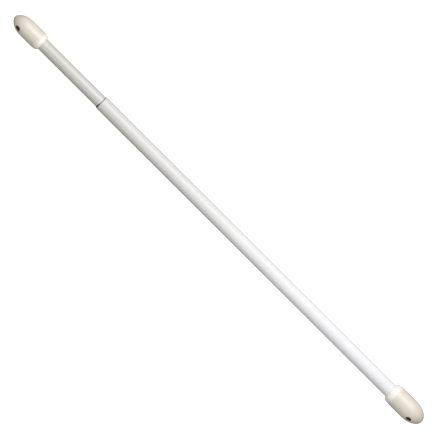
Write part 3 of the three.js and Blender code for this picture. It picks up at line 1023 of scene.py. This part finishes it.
def moulded(name, colour, roughness, grain_size, grain_depth):
    """Moulded nylon or rubber: clouded colour, fine grain and rub marks."""
    shader = Shader(name)
    cloud = shader.noise(MOULDED_SCALES["cloud"], detail=3)
    grain = shader.noise(1 / grain_size, detail=3)
    rubs = shader.fade(shader.noise(MOULDED_SCALES["rub"], detail=2), *RUB_LEVELS)
    rubbed = [(level + RUB_LIFT) / (1 + RUB_LIFT) for level in colour]
    darker, lighter = MOULDED_SHADES
    tone = shader.blend(cloud, shade(colour, darker), shade(colour, lighter))
    tone = shader.blend(shader.times(rubs, RUB_SHARE), tone, shade(rubbed))
    shader.relief((grain, grain_depth))
    roughest = roughness + MOULDED_ROUGHNESS_RANGE
    return shader.done(tone, shader.fade(cloud, *ROUGH_LEVELS, roughness, roughest))


mouth_x = span("outer_tube")[0]
inner_x = span("inner_tube")[0]
outer_boot = BootShape("outer_end_cap", "outer_tube", FIXED_BOOT, 1)
inner_boot = BootShape("inner_end_cap", "inner_tube", SLIDING_BOOT, -1)

outer_paint = powder_coat(
    "outer_tube_paint",
    OUTER_SHADED,
    OUTER_WHITE,
    edge_x=mouth_x,
    fresh_x=OUTER_UNSHADED_X,
    scuffs=0.2,
    handled_gloss=0.6,
    fresh_gloss=0.12,
)
inner_paint = powder_coat(
    "inner_tube_paint",
    INNER_HANDLED,
    INNER_WHITE,
    edge_x=inner_x,
    fresh_x=mouth_x,
    scuffs=0.5,
    handled_gloss=HIGH_GLOSS,
    fresh_gloss=HIGH_GLOSS,
)
outer_boot_rubber = boot_rubber("outer_cap_rubber", outer_boot)
inner_boot_rubber = boot_rubber("inner_cap_rubber", inner_boot)
zinc = turned_metal("zinc_steel", ZINC, ZINC_WORN, roughness=0.28)
brass = turned_metal("brass", BRASS, BRASS_WORN, roughness=0.25)
black_rubber = moulded("black_rubber", BLACK, roughness=0.62, **RUBBER_GRAIN)
grey_nylon = moulded("grey_nylon", GREY, roughness=0.42, **NYLON_GRAIN)
natural_nylon = moulded("natural_nylon", IVORY, roughness=0.4, **NYLON_GRAIN)

# ---- pieces, one for each CAD node ----

body_of = {node: body for body, nodes in frame["record"]["behaviour"]["bodies"].items() for node in nodes}


def settle(make, node, material, *sizes):
    """Makes a node's finer piece, gives it its material, and hands it over to the frame."""
    piece = make(f"{node}_detailed", node, *sizes)
    piece.data.materials.clear()
    piece.data.materials.append(material)
    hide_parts(node)
    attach(piece, body_of[node])


settle(tube, "outer_tube", outer_paint, True)
settle(tube, "inner_tube", inner_paint, False)
settle(boot, "outer_end_cap", outer_boot_rubber, outer_boot)
settle(boot, "inner_end_cap", inner_boot_rubber, inner_boot)
settle(washer, "outer_cap_washer", zinc, CAP_WASHER_BORE)
settle(washer, "inner_cap_washer", zinc, CAP_WASHER_BORE)
settle(mouth_bush, "mouth_bush", black_rubber)
settle(sleeve, "expander_sleeve", grey_nylon)
settle(drag_ring, "drag_ring_1", black_rubber)
settle(drag_ring, "drag_ring_2", black_rubber)
settle(cone, "cone_nut", natural_nylon)
settle(hex_insert, "cone_insert", brass, RUNNING_BORE)
settle(plug, "stud_plug", grey_nylon, THREAD_BORE, ("plug_pin_1", "plug_pin_2"))
settle(stud, "lock_stud", zinc)
settle(lock_washer, "plug_lock_washer", zinc, THREAD_BORE)
settle(nut, "plug_nut", zinc, THREAD_BORE)
settle(washer, "thrust_washer", zinc, RUNNING_BORE)
settle(washer, "stop_washer", zinc, RUNNING_BORE)
settle(nut, "stop_nut", zinc, THREAD_BORE)
settle(plug_pin, "plug_pin_1", zinc)
settle(plug_pin, "plug_pin_2", zinc)

# ---- floor, light and camera ----

FLOOR_DEPTH = 25.0
FLOOR_HALF = 400.0
FLOOR_GREY = 0.8
FLOOR_ROUGHNESS = 0.9
FLOOR_GLOW = 0.9
WHITE = (1.0, 1.0, 1.0, 1.0)
VIEW_AZIMUTH = math.radians(-1.5)
VIEW_ELEVATION = math.radians(51)
VIEW_TILT = math.radians(44.9)
VIEW_DISTANCE = 14.0
VIEW_WIDTH = 0.7052
SENSOR = 36.0
AIM_ALONG = 0.0031
AIM_ACROSS = 0.0009
KEY_LIGHT = {"along": 0.0, "elevation": 88, "distance": 1.2, "size": (1.3, 0.85), "power": 12.0}
FILL_LIGHT = {"along": 0.14, "elevation": -5, "distance": 0.5, "size": (0.4, 0.3), "power": 0.21}
DOME_ELEVATION = math.radians(53)
DOME_DARK, DOME_BRIGHT = 0.11, 0.58

bar_middle = (Vector(cad_box[0]) + Vector(cad_box[1])) / 2

floor_outline = ((-1, -1), (1, -1), (1, 1), (-1, 1))
floor_corners = [(x * FLOOR_HALF, y * FLOOR_HALF, -FLOOR_DEPTH) for x, y in floor_outline]
floor = add_object("studio_floor", floor_corners, [(0, 1, 2, 3)])
floor_shader = Shader("studio_floor")
floor_shader.surface.inputs["Emission Color"].default_value = WHITE
floor_shader.surface.inputs["Emission Strength"].default_value = FLOOR_GLOW
floor.data.materials.append(floor_shader.done(shade(WHITE, FLOOR_GREY), FLOOR_ROUGHNESS))
floor.visible_diffuse = False
floor.visible_glossy = False

world = bpy.data.worlds.new("studio")
world.use_nodes = True
bpy.context.scene.world = world
sky_nodes, sky_links = world.node_tree.nodes, world.node_tree.links
direction = sky_nodes.new("ShaderNodeTexCoord").outputs["Generated"]
toward_bright = sky_nodes.new("ShaderNodeVectorMath")
toward_bright.operation = "DOT_PRODUCT"
toward_bright.inputs[1].default_value = (0, -math.cos(DOME_ELEVATION), math.sin(DOME_ELEVATION))
sky_links.new(direction, toward_bright.inputs[0])
soft_dome = sky_nodes.new("ShaderNodeMapRange")
for name, number in (("From Min", -1.0), ("From Max", 1.0), ("To Min", DOME_DARK), ("To Max", DOME_BRIGHT)):
    soft_dome.inputs[name].default_value = number
sky_links.new(toward_bright.outputs["Value"], soft_dome.inputs["Value"])
backdrop = sky_nodes.new("ShaderNodeMix")
backdrop.inputs["B"].default_value = 1.0
sky_links.new(sky_nodes.new("ShaderNodeLightPath").outputs["Is Camera Ray"], backdrop.inputs["Factor"])
sky_links.new(soft_dome.outputs["Result"], backdrop.inputs["A"])
sky_links.new(backdrop.outputs["Result"], sky_nodes["Background"].inputs["Strength"])
sky_nodes["Background"].inputs["Color"].default_value = WHITE


def softbox(name, along, elevation, distance, size, power):
    """A soft rectangular light that faces the bar from its front, this far along from the middle."""
    light = bpy.data.lights.new(name, "AREA")
    light.shape = "RECTANGLE"
    light.size, light.size_y = size
    light.energy = power
    rise = math.radians(elevation)
    offset = Vector((along, -distance * math.cos(rise), distance * math.sin(rise)))
    holder = bpy.data.objects.new(name, light)
    holder.location = bar_middle + offset
    holder.rotation_euler = (math.pi / 2 - rise, 0, 0)
    bpy.context.scene.collection.objects.link(holder)


softbox("key_softbox", **KEY_LIGHT)
softbox("fill_softbox", **FILL_LIGHT)

toward_camera = Vector(
    (
        math.cos(VIEW_ELEVATION) * math.sin(VIEW_AZIMUTH),
        -math.cos(VIEW_ELEVATION) * math.cos(VIEW_AZIMUTH),
        math.sin(VIEW_ELEVATION),
    )
)
bar_axis = Vector((1, 0, 0))
along_bar = (bar_axis - toward_camera * bar_axis.dot(toward_camera)).normalized()
across_bar = toward_camera.cross(along_bar)
right = math.cos(VIEW_TILT) * along_bar + math.sin(VIEW_TILT) * across_bar
up = -math.sin(VIEW_TILT) * along_bar + math.cos(VIEW_TILT) * across_bar
camera = bpy.data.cameras.new("camera")
camera.sensor_width = SENSOR
camera.lens = SENSOR * VIEW_DISTANCE / VIEW_WIDTH
camera_object = bpy.data.objects.new("camera", camera)
facing = Matrix((right, up, toward_camera)).transposed().to_4x4()
aim = bar_middle - along_bar * AIM_ALONG + across_bar * AIM_ACROSS
camera_object.matrix_world = Matrix.Translation(aim + toward_camera * VIEW_DISTANCE) @ facing
bpy.context.scene.collection.objects.link(camera_object)
bpy.context.scene.camera = camera_object
bpy.context.scene.view_settings.view_transform = "Standard"
